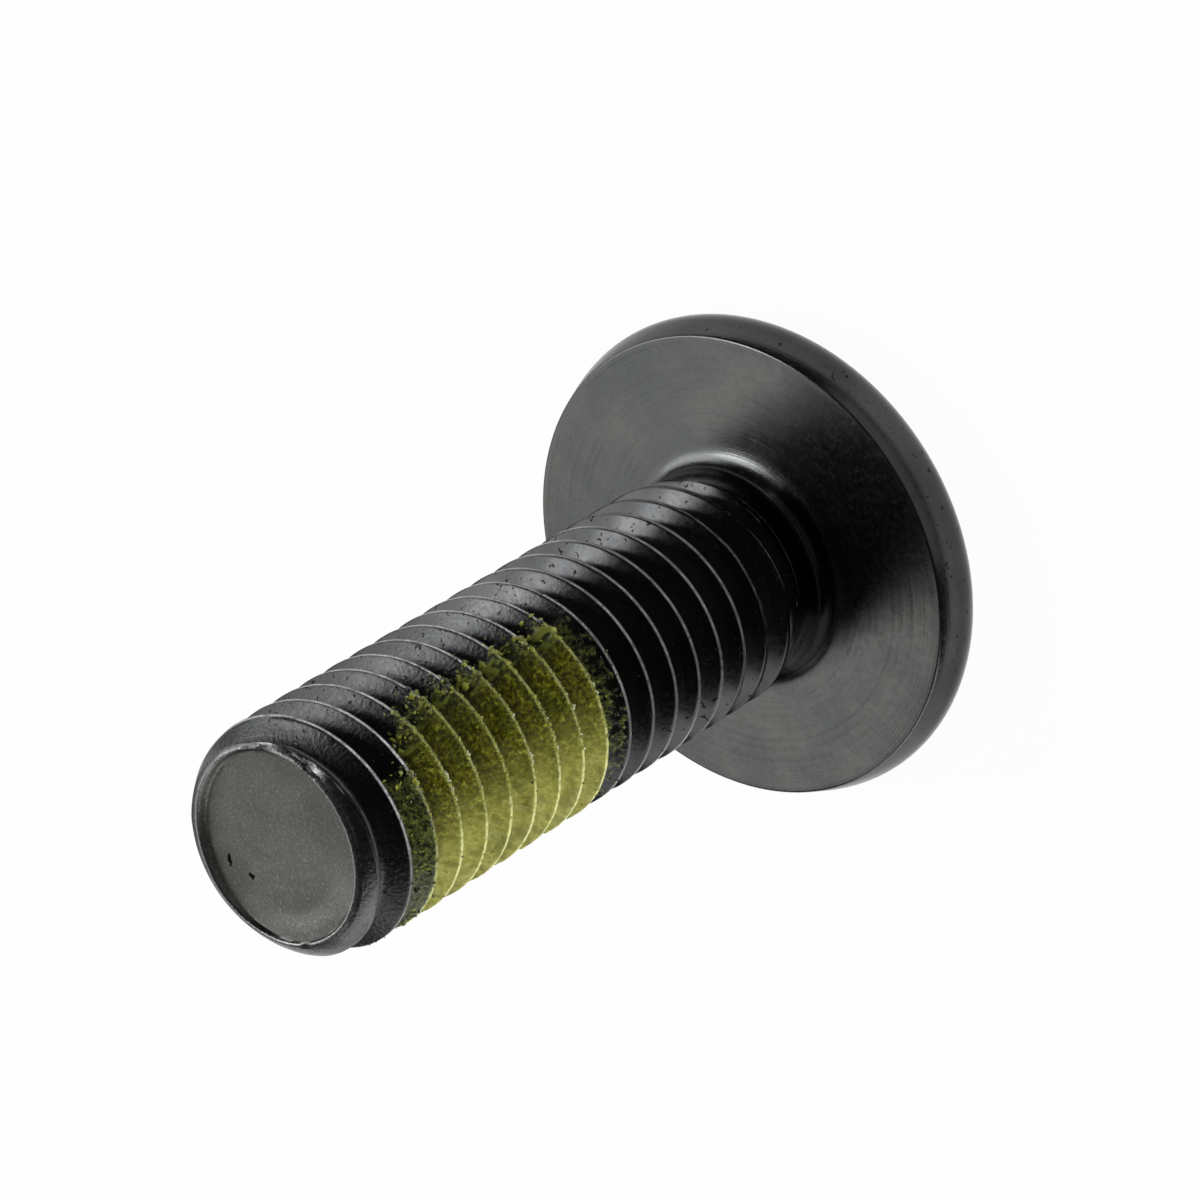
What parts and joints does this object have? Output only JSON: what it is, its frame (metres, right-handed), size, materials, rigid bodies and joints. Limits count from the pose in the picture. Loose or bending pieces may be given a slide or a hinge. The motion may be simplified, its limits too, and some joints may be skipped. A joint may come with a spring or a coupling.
{
  "type": "star drive screw",
  "caption": "Machine screw with a wide low domed head, a six-lobe drive recess, a right-hand metric thread and a dry thread-locking patch.",
  "frame": {"origin": "centre of the flat drive face of the head, on the axis of the screw", "axes": "+Z along the axis from the head to the tip; -Y faces the side that shows one edge of the patch; the screw stands on its head"},
  "size_m": [0.017, 0.017, 0.0279],
  "materials": {
    "black_steel": "satin black oxide on rolled and headed steel, bare grey along the thread crests",
    "locking_adhesive": "dry yellow-green film, granular, with small glossy spots"
  },
  "bodies": {
    "root": {"screw": "black_steel", "thread_lock_patch": "locking_adhesive"}
  },
  "joints": []
}
